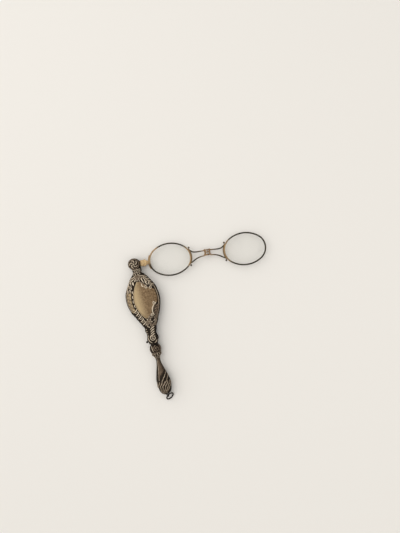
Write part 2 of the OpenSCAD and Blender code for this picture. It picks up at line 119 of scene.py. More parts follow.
def curve(table, x, column=1):
    """Smooth curve through the rows of a table: one column as a function of the first."""
    k, v = table[:, 0], table[:, column]
    slopes = np.gradient(v, k)
    slopes[1:-1] = (v[2:] - v[:-2]) / (k[2:] - k[:-2])
    i = np.clip(np.searchsorted(k, x, side="right") - 1, 0, len(k) - 2)
    h = k[i + 1] - k[i]
    f = np.clip((x - k[i]) / h, 0, 1)
    g = 1 - f
    return ((1 + 2 * f) * g * g * v[i] + f * g * g * h * slopes[i]
            + f * f * (3 - 2 * f) * v[i + 1] - f * f * g * h * slopes[i + 1])


def spline(points, per_span=8):
    """Points on a smooth line through the given ones."""
    p = np.array(points, float)
    ends = np.vstack([2 * p[0] - p[1], p, 2 * p[-1] - p[-2]])
    out = []
    for i in range(1, len(ends) - 2):
        a, b, c, d = ends[i - 1:i + 3]
        for f in np.arange(per_span) / per_span:
            out.append(0.5 * (2 * b + (c - a) * f + (2 * a - 5 * b + 4 * c - d) * f * f
                              + (3 * b - a - 3 * c + d) * f ** 3))
    return np.array(out + [p[-1]])


def turns(steps):
    """Even angles once round."""
    return np.linspace(0, 2 * math.pi, steps, endpoint=False)


def polar(s, x, r, a):
    """Point at a distance and an angle from another."""
    return (s + r * math.cos(a), x + r * math.sin(a))


# Meshes

def mesh_piece(name, part, body, material, stands_for, sharp=None):
    """A piece of the object from (points, faces) in millimetres, riding on a body of the frame."""
    points, faces = part
    mesh = bpy.data.meshes.new(name)
    at = np.asarray(points, float) * MM + pivot
    mesh.from_pydata(at.tolist(), [], [list(map(int, f)) for f in faces])
    mesh.validate()
    obj = bpy.data.objects.new(name, mesh)
    bpy.context.scene.collection.objects.link(obj)
    obj.data.materials.append(material)
    mesh.shade_smooth()
    if sharp is not None:
        mesh.set_sharp_from_angle(angle=math.radians(sharp))
    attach(obj, body)
    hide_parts(*stands_for)
    return obj


def set_field(obj, name, values):
    """Stores one number for each point of a piece, for its material to read."""
    attribute = obj.data.attributes.new(name, "FLOAT", "POINT")
    attribute.data.foreach_set("value", np.asarray(values, np.float32).ravel())


def grid_quads(rows, columns, start=0, close_rows=False, close_columns=False, flip=False):
    """Faces over a grid of points whose rows follow each other."""
    faces = []
    for i in range(rows if close_rows else rows - 1):
        for j in range(columns if close_columns else columns - 1):
            a = start + i * columns + j
            b = start + i * columns + (j + 1) % columns
            c = start + ((i + 1) % rows) * columns + (j + 1) % columns
            d = start + ((i + 1) % rows) * columns + j
            faces.append((a, d, c, b) if flip else (a, b, c, d))
    return faces


def lace(first, second):
    """Triangles between two lines of points that run side by side."""
    faces, i, j = [], 0, 0
    n, m = len(first) - 1, len(second) - 1
    while i < n or j < m:
        if j >= m or (i < n and (i + 1) / n <= (j + 1) / m):
            faces.append((first[i], first[i + 1], second[j]))
            i += 1
        else:
            faces.append((first[i], second[j + 1], second[j]))
            j += 1
    return faces


def sheet_faces(rows, columns, in_rows, in_columns):
    """Faces of a closed sheet: a fine outer grid, a coarse inner one and the edges between."""
    start = rows * columns
    faces = grid_quads(rows, columns) + grid_quads(in_rows, in_columns, start, flip=True)
    outer = np.arange(start).reshape(rows, columns)
    inner = start + np.arange(in_rows * in_columns).reshape(in_rows, in_columns)
    faces += lace(outer[0][::-1], inner[0][::-1])
    faces += lace(outer[-1], inner[-1])
    faces += lace(outer[:, 0], inner[:, 0])
    faces += lace(outer[:, -1][::-1], inner[:, -1][::-1])
    return faces


def tube_mesh(path, radius, sides=16):
    """Points and faces of a round tube with round ends, along a path that is level in z."""
    p = np.asarray(path, float)
    radii = np.broadcast_to(radius, (len(p),)).astype(float)
    start, end = p[0] - p[1], p[-1] - p[-2]
    start *= radii[0] / np.linalg.norm(start)
    end *= radii[-1] / np.linalg.norm(end)
    caps = np.array([0.95, 0.7, 0.35])
    p = np.vstack([p[0] + caps[:, None] * start, p, p[-1] + caps[::-1, None] * end])
    shrink = np.sqrt(1 - caps ** 2)
    radii = np.concatenate([radii[0] * shrink, radii, radii[-1] * shrink[::-1]])
    along = np.gradient(p, axis=0)
    along /= np.linalg.norm(along, axis=1)[:, None]
    w = np.cross(along, (0, 0, 1))
    w /= np.linalg.norm(w, axis=1)[:, None]
    v = np.cross(w, along)
    turn = turns(sides)[None, :, None]
    rings = p[:, None] + radii[:, None, None] * (np.cos(turn) * v[:, None] + np.sin(turn) * w[:, None])
    return loft(rings, flip=True)


def loft(rings, flip=False):
    """Points and faces through rings of points that follow each other, closed at both ends."""
    n, m = rings.shape[:2]
    first = tuple(range(m))
    last = tuple(range((n - 1) * m, n * m))
    faces = grid_quads(n, m, close_columns=True, flip=flip)
    faces += [first, last[::-1]] if flip else [first[::-1], last]
    return rings.reshape(-1, 3), faces


def closed_tube(rings, flip=True):
    """Points and faces of a ring of cross-sections that closes on itself."""
    faces = grid_quads(*rings.shape[:2], close_rows=True, close_columns=True, flip=flip)
    return rings.reshape(-1, 3), faces


def join(parts):
    """Several (points, faces) as one."""
    points, faces, start = [], [], 0
    for p, f in parts:
        points.append(np.asarray(p, float))
        faces += [tuple(start + i for i in face) for face in f]
        start += len(p)
    return np.vstack(points), faces


def turned(profile, steps):
    """Rings of a turned form about z, from (radius, height) points."""
    return np.array([[(r * math.cos(a), r * math.sin(a), z) for a in turns(steps)] for r, z in profile])


def lathe(profile, steps=48):
    """A turned form with closed ends; points on the axis stand a hair off it."""
    hair = 1e-4
    return loft(turned([(max(r, hair), z) for r, z in profile], steps))


def rounded_plate(outline, low, high, rounding):
    """A plate with round edges over a closed outline that runs anticlockwise."""
    p = np.asarray(outline, float)
    tangent = np.roll(p, -1, axis=0) - np.roll(p, 1, axis=0)
    tangent /= np.linalg.norm(tangent, axis=1)[:, None]
    inward = np.stack([-tangent[:, 1], tangent[:, 0]], axis=1)
    steps = [math.radians(a) for a in (0, 25, 50, 75, 90)]
    side = [(rounding * (1 - math.sin(a)), rounding * (1 - math.cos(a))) for a in steps]
    levels = [(i, low + z) for i, z in side] + [(i, high - z) for i, z in reversed(side)]
    rings = np.array([np.column_stack([p + inward * i, np.full(len(p), z)]) for i, z in levels])
    return loft(rings)


def moved(part, turn=0, at=(0, 0, 0), flip_x=False):
    """(points, faces) mirrored in x if asked, turned about z by degrees, then moved."""
    points, faces = part
    x, y, z = np.array(points, float).T
    if flip_x:
        x = -x
        faces = [tuple(reversed(f)) for f in faces]
    cos, sin = math.cos(math.radians(turn)), math.sin(math.radians(turn))
    return np.column_stack([x * cos - y * sin, x * sin + y * cos, z]) + at, faces


def on_arm(part):
    """A part drawn along x, turned to the opened arm."""
    return moved(part, open_turn)


# Materials; colours are linear

soot = (0.018, 0.012, 0.007)
tarnish = (0.15, 0.105, 0.07)
worn_silver = (0.61, 0.515, 0.39)
old_gilt = (0.465, 0.352, 0.204)
dark_brown = (0.12, 0.072, 0.036)
light_brown = (0.30, 0.205, 0.113)
# The dark olive of the rims is painted dark reflection on gilt wire.
dark_reflection_olive = (0.020, 0.016, 0.010)
light_reflection_olive = (0.062, 0.05, 0.032)
rim_gilt = (0.335, 0.228, 0.122)


def new_material(name):
    material = bpy.data.materials.new(name)
    material.use_nodes = True
    tree = material.node_tree
    return material, tree, tree.nodes["Principled BSDF"]


def feed(made, inputs):
    """Links the inputs of a node to outputs of others, or sets them to plain values."""
    for key, value in inputs.items():
        if isinstance(value, bpy.types.NodeSocket):
            made.id_data.links.new(value, made.inputs[key])
        else:
            made.inputs[key].default_value = value


def node(tree, kind, inputs, **settings):
    made = tree.nodes.new(kind)
    for key, value in settings.items():
        setattr(made, key, value)
    feed(made, inputs)
    return made


def noise(tree, scale, detail, rough=0.55):
    place = node(tree, "ShaderNodeTexCoord", {}).outputs["Object"]
    inputs = {"Vector": place, "Scale": scale, "Detail": detail, "Roughness": rough}
    return node(tree, "ShaderNodeTexNoise", inputs).outputs["Fac"]


def remap(value, low, high, to_low=0.0, to_high=1.0):
    inputs = {"Value": value, "From Min": low, "From Max": high, "To Min": to_low, "To Max": to_high}
    return node(value.id_data, "ShaderNodeMapRange", inputs, clamp=True).outputs["Result"]


def add(a, b):
    return node(a.id_data, "ShaderNodeMath", {0: a, 1: b}, operation="ADD", use_clamp=True).outputs[0]


def blend(factor, a, b):
    """Mixes two colours, each a plain one or an output of a node."""
    first, second = ((*c, 1) if isinstance(c, tuple) else c for c in (a, b))
    inputs = {"Factor": factor, 6: first, 7: second}
    return node(factor.id_data, "ShaderNodeMix", inputs, data_type="RGBA").outputs[2]


def field(tree, name):
    return node(tree, "ShaderNodeAttribute", {}, attribute_name=name).outputs["Fac"]


def bump(height, distance, strength):
    inputs = {"Height": height, "Distance": distance, "Strength": strength}
    return node(height.id_data, "ShaderNodeBump", inputs).outputs["Normal"]


def chased_silver():
    """Oxidised silver: black in the recesses, worn bright on the ridges, gilt on the plain fields, browned there
    by patina and by painted reflection, with painted shade on the tail's smooth taper.
    """
    material, tree, shader = new_material("chased_silver")
    high = field(tree, "high")
    fine = noise(tree, 1500, 3)
    # Wear and oxide from the relief; on the smooth taper of the tail this field holds painted shade and reflection
    # instead.
    wear_and_painted_shade = add(high, remap(noise(tree, 1100, 4, 0.6), 0.3, 0.7, -0.16, 0.2))
    recess = blend(remap(wear_and_painted_shade, 0.12, 0.52), soot, tarnish)
    raised = blend(remap(wear_and_painted_shade, 0.6, 1.0), recess, worn_silver)
    mottle = remap(noise(tree, 700, 6, 0.65), 0.36, 0.64)
    # The mottled brown stands for patina together with painted reflection of the room; the tone field lays it
    # mostly on the case's right side.
    brown_patina_and_reflection = blend(mottle, dark_brown, light_brown)
    gilt = blend(field(tree, "tone"), old_gilt, brown_patina_and_reflection)
    dull = remap(high, 0.1, 0.8, 0.6, 0.36)
    feed(shader, {
        "Base Color": blend(field(tree, "plain"), raised, gilt),
        "Roughness": add(dull, remap(fine, 0.3, 0.7, -0.05, 0.07)),
        "Metallic": 0.8,
        "Normal": bump(fine, 0.00005, 0.5)})
    return material


def aged_metal(name, dark, light, scale, rough, metallic=1.0):
    """Plain metal with cloudy tarnish between two colours."""
    material, tree, shader = new_material(name)
    cloud = noise(tree, scale, 5)
    fine = noise(tree, scale * 6, 3)
    feed(shader, {
        "Base Color": blend(remap(cloud, 0.35, 0.65), dark, light),
        "Roughness": remap(fine, 0.3, 0.7, rough - 0.08, rough + 0.1),
        "Metallic": metallic,
        "Normal": bump(fine, 0.00003, 0.4)})
    return material


def rim_metal():
    """Gilt wire whose colour is painted dark olive as painted dark reflection, with the gilding left near the tang
    and the bridge.
    """
    material, tree, shader = new_material("rim_metal")
    cloud = noise(tree, 420, 5)
    fine = noise(tree, 2200, 3)
    gilded = add(field(tree, "gilded"), remap(cloud, 0.3, 0.7, -0.18, 0.18))
    # Dark olive here is painted dark reflection on the gilt wire.
    reflection_olive = blend(remap(cloud, 0.35, 0.65), dark_reflection_olive, light_reflection_olive)
    feed(shader, {
        "Base Color": blend(remap(gilded, 0.2, 0.9), reflection_olive, rim_gilt),
        "Roughness": remap(fine, 0.3, 0.7, 0.3, 0.48),
        "Metallic": 0.9,
        "Normal": bump(fine, 0.00002, 0.4)})
    return material


def lens_glass():
    """Clear glass with a faint smear."""
    material, tree, shader = new_material("lens_glass")
    feed(shader, {
        "Roughness": remap(noise(tree, 60, 3), 0.45, 0.8, 0.02, 0.09),
        "Base Color": (0.94, 0.95, 0.92, 1),
        "Transmission Weight": 1.0,
        "IOR": 1.5,
        "Alpha": 0.22})
    return material


# Chased ornament: ridges along lines of (station, x) points

def box_blur(a, reach):
    """Mean over a window of 2 * reach + 1 cells along both axes, three times over."""
    for _ in range(3):
        for axis in (0, 1):
            pad = [(reach + 1, reach) if k == axis else (0, 0) for k in (0, 1)]
            total = np.cumsum(np.pad(a, pad, mode="edge"), axis=axis)
            n = a.shape[axis]
            high = np.take(total, np.arange(n) + 2 * reach + 1, axis=axis)
            a = (high - np.take(total, np.arange(n), axis=axis)) / (2 * reach + 1)
    return a


class Relief:
    """Heights of a chased surface on an even grid of stations s and places x, in millimetres."""

    def __init__(self, s_range, x_range):
        self.s = np.arange(*s_range, relief_step)
        self.x = np.arange(*x_range, relief_step)
        self.h = np.zeros((len(self.s), len(self.x)))

    def near(self, line, reach):
        """The part of the grid round a line, each cell's distance from it and the share of it passed."""
        i0, i1 = np.searchsorted(self.s, (line[:, 0].min() - reach, line[:, 0].max() + reach))
        j0, j1 = np.searchsorted(self.x, (line[:, 1].min() - reach, line[:, 1].max() + reach))
        part = (slice(i0, i1), slice(j0, j1))
        grid = np.stack(np.meshgrid(self.s[part[0]], self.x[part[1]], indexing="ij"), axis=2)
        best = np.full(grid.shape[:2], 1e9)
        share = np.zeros(grid.shape[:2])
        for k, (a, b) in enumerate(zip(line[:-1], line[1:])):
            ab = b - a
            f = np.clip(((grid - a) @ ab) / max(ab @ ab, 1e-12), 0, 1)
            gap = np.linalg.norm(grid - a - f[:, :, None] * ab, axis=2)
            closer = gap < best
            best = np.where(closer, gap, best)
            share = np.where(closer, (k + f) / (len(line) - 1), share)
        return part, best, share

    def ridge(self, points, width, height, vein=0.0, per_span=5):
        """A round ridge on a smooth line: half-widths from start to end, and a cut down its middle."""
        part, gap, share = self.near(spline(points, per_span), max(width))
        half = np.interp(share, np.linspace(0, 1, len(width)), width)
        top = height * np.sqrt(np.clip(1 - (gap / half) ** 2, 0, 1))
        top -= vein * height * np.exp(-(gap / (0.2 * half)) ** 2) * (gap < half)
        self.h[part] = np.maximum(self.h[part], top)

    def petal(self, points, half, height, vein=0.4):
        """A leaf tip: narrow at its root, full in the middle and pointed."""
        self.ridge(points, (0.45 * half, 0.9 * half, half, 0.75 * half, 0.25 * half), height, vein)

    def bead(self, s, x, radius, height):
        self.ridge([(s, x), (s + 0.01, x)], (radius, radius), height, per_span=1)

    def beads(self, points, radius, height, pitch):
        line = spline(points, 12)
        steps = np.concatenate([[0], np.cumsum(np.linalg.norm(np.diff(line, axis=0), axis=1))])
        for d in np.arange(0, steps[-1], pitch):
            self.bead(np.interp(d, steps, line[:, 0]), np.interp(d, steps, line[:, 1]), radius, height)

    def ring(self, s, x, radius, half, height):
        line = [polar(s, x, radius, a) for a in np.linspace(0, 2 * math.pi, 33)]
        self.ridge(line, (half, half), height, per_span=1)

    def spiral(self, s, x, start_r, end_r, start, turns, half, height):
        """A scroll that winds in to its eye, by degrees and turns."""
        points = []
        for f in np.linspace(0, 1, max(int(abs(turns) * 10), 4)):
            a = math.radians(start + 360 * turns * f)
            points.append(polar(s, x, mix(start_r, end_r, f), a))
        self.ridge(points, (half, half, 0.7 * half), height, per_span=3)
        self.bead(*points[-1], half * 1.1, height)

    def leaf(self, spine, reach, lobes, height, lean=48):
        """An acanthus leaf: overlapping tips that lean forward on each side of a midrib."""
        line = spline(spine, 8)
        along = np.gradient(line, axis=0)
        along /= np.linalg.norm(along, axis=1)[:, None]
        for k in range(lobes):
            f = (k + 0.3) / lobes
            i = int(f * (len(line) - 1))
            size = reach * (0.6 + 0.4 * math.sin(math.pi * (0.2 + 0.7 * f)))
            for side in (-1, 1):
                a = math.radians(lean * side)
                ds, dx = along[i]
                out = np.array([ds * math.cos(a) - dx * math.sin(a), ds * math.sin(a) + dx * math.cos(a)])
                tip = line[i] + size * out + 0.35 * size * along[i]
                self.petal([line[i], line[i] + 0.6 * size * out, tip], 0.3 * size, height * 0.9, 0.15)
        self.ridge(spine, (0.2 * reach, 0.18 * reach, 0.08 * reach), height, 0.2)

    def flower(self, s, x, radius, petals, height, start):
        for k in range(petals):
            a = math.radians(start + 360 * k / petals)
            line = [polar(s, x, 0.25 * radius, a), polar(s, x, radius, a)]
            self.ridge(line, [w * radius / petals for w in (0.9, 2.3, 1.9)], height * 0.85, 0.3)
        self.bead(s, x, radius * 0.3, height * 1.1)

    def wear(self):
        """How worn and bright each cell is: low in the hollows, high on the crests."""
        hollow = self.h - box_blur(self.h, round(0.45 / relief_step))
        return np.clip(0.3 + hollow / 0.4 + (self.h / 0.5 - 0.5) * 0.5, 0, 1)

    def sample(self, values, s, x):
        """Values of the grid at stations s and places x."""
        i = np.clip((s - self.s[0]) / relief_step, 0, len(self.s) - 1.001)
        j = np.clip((x - self.x[0]) / relief_step, 0, len(self.x) - 1.001)
        i0, j0 = i.astype(int), j.astype(int)
        fi, fj = i - i0, j - j0
        low = mix(values[i0, j0], values[i0, j0 + 1], fj)
        return mix(low, mix(values[i0 + 1, j0], values[i0 + 1, j0 + 1], fj), fi)


def case_half(s, side):
    return curve(case_outline, s, 1 if side < 0 else 2)


def cartouche_open(s):
    f = np.clip((s - cartouche_top) / (cartouche_low - cartouche_top), 0, 1)
    return np.maximum(np.sin(math.pi * f), 0) ** 0.75


def border_x(s, side):
    """Place of the cartouche's border on one side."""
    return cartouche_shift * cartouche_open(s) + side * cartouche_half * cartouche_open(s)


def boss_ornament(r):
    """A rosette of swirling petals inside a ring."""
    r.ring(0, 0, 4.6, 0.36, 0.26)
    swirl = ((1.2, 0), (2.2, 0.25), (3.1, 0.65), (3.7, 1.1))
    count = 5
    for k in range(count):
        a = 2 * math.pi * k / count
        r.petal([polar(0, 0, q, a + b) for q, b in swirl], 0.72, 0.44, 0.25)
    r.bead(0, 0, 0.75, 0.5)


def neck_top_ornament(r):
    for s in (5.3, 7.7):
        r.ridge([(s, -4.8), (s + 0.2, 0.6), (s, 4.8)], (0.36, 0.36), 0.42)
    r.beads([(6.5, -2), (6.7, 1), (6.5, 4.2)], 0.58, 0.56, 1.5)
    r.beads([(9.1, -2.6), (9.3, 0.6), (9.1, 4.3)], 0.56, 0.52, 2)


def fan_ornament(r):
    """Fluted petals that spread from the neck over the top of the cartouche."""
    count = 8
    for k in range(count):
        f = k / (count - 1)
        a = math.radians(mix(-72, 74, f))
        length = mix(5, 7.6, abs(2 * f - 1))
        bend = a * 0.85
        line = [(9.8 + 0.5 * math.cos(a), 0.4 + 1.4 * math.sin(a)),
                (9.8 + 0.55 * length * math.cos(bend), 0.4 + 0.6 * length * math.sin(bend)),
                polar(9.8, 0.4, length, a)]
        r.ridge(line, (0.24, 0.4, 0.6, 0.56), 0.48, 0.3)
    r.petal([(15.4, -4.4), (16.8, -4.7), (18.6, -4.4)], 0.9, 0.6, 0.1)
    r.petal([(13, -4.4), (15.4, -6.4), (18.6, -6.9)], 0.5, 0.5, 0.1)


def shoulder_ornament(r):
    """Acanthus leaves down both shoulders."""
    r.leaf([(13.4, -6.4), (16.4, -8.6), (19.6, -10.8), (22, -12.6)], 2.5, 3, 0.6)
    r.leaf([(18.8, -7), (21.2, -8.4), (23.8, -9.4)], 2, 2, 0.52)
    r.spiral(23, -11, 1.2, 0.3, 160, 1, 0.36, 0.56)
    r.leaf([(12.4, 5.8), (15.6, 8), (19, 10.3), (22.8, 12.2)], 2.6, 4, 0.58)
    r.petal([(13, 3.8), (16, 4), (18.6, 5.4)], 0.62, 0.6, 0.15)
    r.petal([(15.4, 6.4), (18.4, 6.6), (20.8, 8.4)], 0.62, 0.6, 0.15)
    r.petal([(18.2, 2.6), (20.4, 2.8), (21.8, 4.2)], 0.66, 0.62, 0.15)
    r.spiral(22.2, 6.2, 1.6, 0.4, 160, 1, 0.42, 0.66)
    r.spiral(23.6, 9.8, 1.5, 0.4, 140, 1, 0.4, 0.6)


def border_ornament(r):
    """Line of the cartouche, the drops beside it and the moulding along the case's edge."""
    stations = np.linspace(cartouche_top + 0.6, cartouche_low - 0.6, 34)
    left = [(s, border_x(s, -1)) for s in stations]
    right = [(s, border_x(s, 1)) for s in stations]
    r.ridge(left, (0.34, 0.4, 0.34), 0.46, per_span=2)
    r.ridge(right[:9], (0.34, 0.3, 0.1), 0.3, per_span=2)
    r.ridge(right[21:], (0.1, 0.3, 0.36), 0.4, per_span=2)
    for s in (24.6, 28.6, 32.6, 36.6):
        x = border_x(s, -1) - 1.35
        r.petal([(s - 1.3, x + 0.4), (s, x), (s + 1.5, x + 0.5)], 0.6, 0.44, 0.1)
    for s, x, turn in ((27, 8.6, 1), (30.6, 9.6, -1), (34.6, 9.6, 1)):
        wave = [(s - 1.6, x + 0.5 * turn), (s, x - 0.5 * turn), (s + 1.6, x + 0.5 * turn)]
        r.ridge(wave, (0.14, 0.34, 0.14), 0.13)
    for side, low in ((-1, 41), (1, 57)):
        edge = np.linspace(20, low, 24)
        r.ridge([(s, side * (case_half(s, side) - 0.75)) for s in edge], (0.4, 0.5, 0.4), 0.34, per_span=2)


def panel_ornament(r):
    """Low leaves on the gilt strip between the border and the left edge."""
    leaves = ((25.6, -11, 0.8), (28.8, -11.4, -0.7), (32, -11.5, 0.8), (35.2, -11.3, -0.7),
              (38.4, -10.6, 0.8))
    for s, x, lean in leaves:
        r.petal([(s - 1.5, x + 0.6 * lean), (s, x - 0.4 * lean), (s + 1.7, x + 0.7 * lean)], 0.62, 0.34, 0.3)
        r.bead(s + 1.7, x - 0.6 * lean, 0.42, 0.28)


def lower_left_ornament(r):
    """Leaves that overlap down the left edge towards the neck."""
    leaves = ((40.4, -8.9, 1), (43.4, -7.8, 1.1), (46.6, -6.4, 1.1), (49.7, -5, 1.05), (52.8, -3.9, 1))
    for s, x, size in leaves:
        large = [(s - 1, x + 2.1), (s + 0.6 * size, x + 1), (s + 1.8 * size, x - 1.5)]
        small = [(s + 0.8, x + 2.6), (s + 1.8 * size, x + 2), (s + 2.7 * size, x + 0.8)]
        r.petal(large, 0.62 * size, 0.56, 0.1)
        r.petal(small, 0.42 * size, 0.46, 0)
        r.bead(s - 0.7, x - 0.9, 0.5, 0.45)


def lower_right_ornament(r):
    """A long C-scroll with a broad leaf outside it."""
    r.leaf([(39.6, 12.2), (43, 10.6), (47, 9), (51.4, 7.4)], 2.4, 5, 0.36)
    r.ridge([(37.4, 10.9), (39.6, 8.4), (42.2, 6.8), (45.2, 6.4), (47.6, 7)], (0.45, 0.68, 0.5), 0.72, 0.3)
    r.spiral(37.3, 9.5, 1.5, 0.35, 80, -1.2, 0.44, 0.64)
    r.spiral(47.9, 5.4, 1.6, 0.35, 90, 1.2, 0.46, 0.68)
    r.leaf([(51, 7), (54, 6.2), (57.4, 4.8)], 1.9, 2, 0.42)


def flower_ornament(r):
    """Blossoms under the point of the cartouche."""
    r.flower(49.4, 3, 1.5, 5, 0.5, 0)
    r.flower(57, 3, 1.6, 5, 0.52, 40)
    r.petal([(54.8, -1.8), (56.6, -1), (58.4, 0.6)], 0.75, 0.5)
    r.flower(53, 1, 2.5, 6, 0.6, 20)


def neck_low_ornament(r):
    """Leaf scallops down the neck, ending in a scroll."""
    for k in range(4):
        s = 59 + 2.05 * k
        x = 2.7 - 0.3 * k
        r.petal([(s - 1, x + 1.4), (s - 0.2, x - 0.4), (s + 1.2, x - 2.6)], 0.62, 0.56, 0.1)
        r.bead(s + 1, x + 1, 0.4, 0.36)
        r.bead(s + 0.1, -3.3 + 0.14 * k, 0.5, 0.4)
    r.spiral(67.6, 1.1, 2.8, 0.5, 200, 1.5, 0.46, 0.46)
    r.petal([(65.8, -3.5), (68.4, -3.3), (70.6, -2.3), (72.2, -0.4)], 0.5, 0.4, 0.1)
    r.petal([(70, 4.1), (71.4, 3), (72.4, 1.4)], 0.6, 0.46)


def chase_case():
    """The ornament of one face of the case."""
    r = Relief((-5.8, 73.6), (-16, 16))
    for ornament in (border_ornament, boss_ornament, neck_top_ornament, fan_ornament, shoulder_ornament,
                     panel_ornament, lower_left_ornament, lower_right_ornament, flower_ornament,
                     neck_low_ornament):
        ornament(r)
    return r


def case_fields(s, x):
    """Share of plain polished metal, and how brown it is, at each point of the case."""
    left, right = border_x(s, -1), border_x(s, 1)
    edge_l, edge_r = case_half(s, -1), case_half(s, 1)
    ends = smooth(s - cartouche_top) * smooth(cartouche_low - s)
    # The polished field runs past the border to the slot side halfway down
    open_side = smooth((s - 21.5) / 5) * smooth((42 - s) / 7)
    reach = mix(right - 0.3, edge_r - 1.5, open_side)
    inside = smooth((x - left - 0.3) / 0.4) * smooth((reach - x) / 0.5) * ends
    # Gilt strip along the closed side, with dark strokes on it
    span = smooth((s - 23) / 2) * smooth((43 - s) / 2)
    panel = smooth((left - 2.4 - x) / 0.5) * smooth((x + edge_l - 1.3) / 0.5) * span
    panel = panel * (1 - 0.85 * smooth((np.sin(1.9 * s - 1.2 * x) - 0.62) / 0.36))
    # Browner to the right, which is painted reflection and shade of the light from the left, and browner towards
    # the low end
    tone = smooth((x + 5.6 - 0.05 * (s - 33)) / 9)
    tone = np.maximum(tone, smooth((s - 42) / 7) * 0.8)
    line = smooth((0.75 - np.abs(x - left)) / 0.3) * ends
    tone = mix(tone, 0.34 + 0.14 * np.sin(0.9 * s + 1.7 * x) * np.sin(1.4 * x), panel) * (1 - line)
    return np.maximum(inside, panel), line, tone


def dome(u):
    return np.maximum(1 - np.minimum(np.abs(u), 1) ** 2.4, 0) ** 0.6


def case_surface(stations, shares):
    """Points of the case's outer face without ornament, on a grid of stations and shares across."""
    s, u = np.meshgrid(stations, shares, indexing="ij")
    half = np.where(u < 0, case_half(s, -1), case_half(s, 1))
    z = edge_h + (curve(case_height, s) - edge_h) * dome(u)
    return s, u, u * half, z


def edge_notch(s, side):
    """How far the outline stands back from the sheet's edge between the tips of the leaves."""
    if side > 0:
        return 0.45 * smooth((s - 40) / 6) * (1 - 0.6 * np.abs(np.sin(s * 1.15)))
    tips = sum(np.abs(np.sin((s - low) * math.pi / pitch)) * (s > low) * (s < high)
               for low, high, pitch in ((12, 23, 2.6), (41, 56.5, 3.1), (56.5, 69, 2.05)))
    return 0.5 * smooth((s - 9) / 4) * (1 - tips)


def shell_stations(start, end):
    return np.append(np.arange(start, end - 0.1, shell_step), end)


def shell_piece(kind, side, outer, inner, fields, material):
    """Half of a pressed shell from the grids of its two faces; the back half is mirrored."""
    points = np.vstack([outer.reshape(-1, 3), inner.reshape(-1, 3)])
    faces = sheet_faces(*outer.shape[:2], *inner.shape[:2])
    if side == "back":
        points[:, 2] *= -1
        faces = [tuple(reversed(f)) for f in faces]
    name = f"{kind}_{side}"
    obj = mesh_piece(f"chased_{name}", (points, faces), "handle", material, [name])
    inside = np.zeros(inner.shape[0] * inner.shape[1])
    for key, values in fields.items():
        set_field(obj, key, np.concatenate([values.ravel(), inside]))


def case_shell(side, material):
    """Front or back half of the case with its ornament."""
    stations = shell_stations(case_start, case_end)
    shares = np.sin(np.linspace(-math.pi / 2, math.pi / 2, 209))
    s, u, x, z = case_surface(stations, shares)
    relief = chase_case()
    height = relief.sample(relief.h, s, x)
    wear = relief.sample(relief.wear(), s, x)
    plain, border, tone = case_fields(s, x)
    flat = plain * (1 - smooth((height - 0.14) / 0.12))
    plain = np.maximum(flat, border * smooth((height - 0.1) / 0.15))
    edge = smooth((1 - np.abs(u)) / 0.03)
    lift = (height * relief_scale - ground_depth * (1 - flat)) * edge
    push = np.where(u < 0, edge_notch(s, -1), -edge_notch(s, 1)) * smooth((np.abs(u) - 0.8) / 0.2)
    outer = np.stack([x + push, -s, np.clip(z + lift, edge_h, top_limit)], axis=2)
    s, _, x, z = case_surface(stations[::coarse], shares[::coarse])
    s[-1] = case_end
    inner = np.stack([x, -s, np.maximum(z - sheet - 0.1, slot_half)], axis=2)
    shell_piece("case", side, outer, inner, {"high": wear, "plain": plain, "tone": tone}, material)


def chase_grip():
    """The ornament of one face of the tail; x runs round it from the middle of the face."""
    r = Relief((grip_start - 0.4, tail_end + 0.4), (-10.4, 10.4))
    r.petal([(74.6, -2.6), (77.6, -2.3), (80.6, -1.5)], 0.55, 0.44, 0)
    r.petal([(74.8, -5.8), (78, -5.8), (80.6, -4.6)], 0.8, 0.3)
    r.spiral(77.5, 1.8, 2.9, 0.5, 200, 1.4, 0.46, 0.3)
    r.petal([(75.2, 5.6), (77.8, 5.8), (80.4, 4.6)], 0.9, 0.44)
    r.ridge([(81.2, -7), (81.5, 0), (81.2, 7)], (0.3, 0.3), 0.4)
    for k in range(6):
        q = (k - 2.5) * 2.3
        r.bead(82.5, q, 0.62, 0.56)
        r.petal([(83.2, q + 0.6), (84.8, q * 0.8), (87, q * 0.42)], 0.5, 0.46, 0.1)
    r.ridge([(87.4, -0.6), (94, -1.1), (100, -2), (106, -3.2)], (0.3, 0.42, 0.5), 0.38)
    r.ridge([(90, -3.1), (96, -4.5), (102, -7.2), (107, -9)], (0.3, 0.42, 0.5), 0.2)
    for start, side, count in ((98.6, 5.8, 4), (102.2, 7.2, 3)):
        for k in range(count):
            s, q = start + 2.3 * k, side - 1.8 * k
            r.petal([(s - 1.4, q + 1), (s + 0.2, q + 0.2), (s + 2, q - 1.6)], 0.56, 0.44, 0.15)
    for k in range(7):
        q = (k - 3) * 2.7
        r.petal([(107.6, q + 2), (109.6, q + 1), (111.6, q - 1.1), (113.2, q - 1.5)], 0.58, 0.48, 0.15)
        r.petal([(108.6, q + 3.1), (110.4, q + 2.3), (112.2, q + 0.7)], 0.36, 0.26, 0)
    for k in range(5):
        q = (k - 2) * 2.4
        tip = [(112, q + 1.6), (114.2, q * 0.9 + 0.6), (116.6, q * 0.6 - 0.8), (118.6, q * 0.3 - 0.6)]
        r.petal(tip, 0.52, 0.44, 0.15)
    return r


def tail_points(s, angles, off, least):
    """Points round the tail at angles in degrees, off its outline."""
    w = np.maximum(curve(grip_outline, s, 1) + off, least)
    h = np.maximum(curve(grip_outline, s, 2) + off, least)
    return np.stack([w * np.cos(np.radians(angles)), -s, h * np.sin(np.radians(angles))], axis=2)


